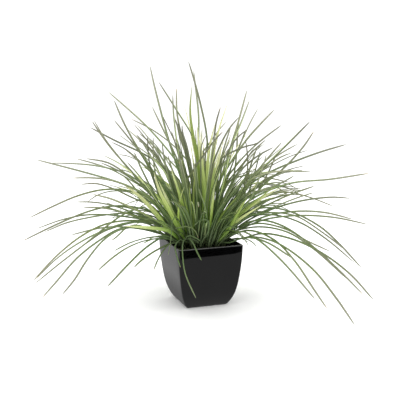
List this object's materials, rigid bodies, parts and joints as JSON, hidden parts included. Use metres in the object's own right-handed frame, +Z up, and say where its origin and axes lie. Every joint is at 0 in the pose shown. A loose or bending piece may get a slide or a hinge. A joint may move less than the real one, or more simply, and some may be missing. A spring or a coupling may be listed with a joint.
{
  "type": "potted ornamental grass clump",
  "caption": "Clump of long arching grass leaves, dull green with some lime and cream ones, standing in a square tapered gloss black pot.",
  "frame": {"origin": "middle of the pot's flat base, where the pot stands", "axes": "+Z up, the way the grass grows; X and Y square to the pot's sides, with -Y the side that faces the viewer"},
  "size_m": [0.6155, 0.5704, 0.4429],
  "materials": {
    "pot": "deep gloss black, mirror smooth, softly rounded edges",
    "soil": "dark, loose, granular potting soil",
    "leaf": "satin leaf with fine lengthwise ribs, dull green, paler towards the tip; some leaves lime to cream along the edges"
  },
  "bodies": {
    "root": {"pot": "pot", "soil": "soil", "tuft_centre": "leaf", "tuft_inner_1": "leaf", "tuft_inner_2": "leaf", "tuft_inner_3": "leaf", "tuft_inner_4": "leaf", "tuft_inner_5": "leaf", "tuft_inner_6": "leaf", "tuft_middle_1": "leaf", "tuft_middle_2": "leaf", "tuft_middle_3": "leaf", "tuft_middle_4": "leaf", "tuft_middle_5": "leaf", "tuft_middle_6": "leaf", "tuft_middle_7": "leaf", "tuft_middle_8": "leaf", "tuft_middle_9": "leaf", "tuft_middle_10": "leaf", "tuft_middle_11": "leaf", "tuft_middle_12": "leaf", "tuft_outer_1": "leaf", "tuft_outer_2": "leaf", "tuft_outer_3": "leaf", "tuft_outer_4": "leaf", "tuft_outer_5": "leaf", "tuft_outer_6": "leaf", "tuft_outer_7": "leaf", "tuft_outer_8": "leaf", "tuft_outer_9": "leaf", "tuft_outer_10": "leaf", "tuft_outer_11": "leaf", "tuft_outer_12": "leaf", "tuft_outer_13": "leaf", "tuft_outer_14": "leaf", "tuft_outer_15": "leaf", "tuft_outer_16": "leaf", "tuft_outer_17": "leaf", "tuft_outer_18": "leaf"}
  },
  "joints": []
}
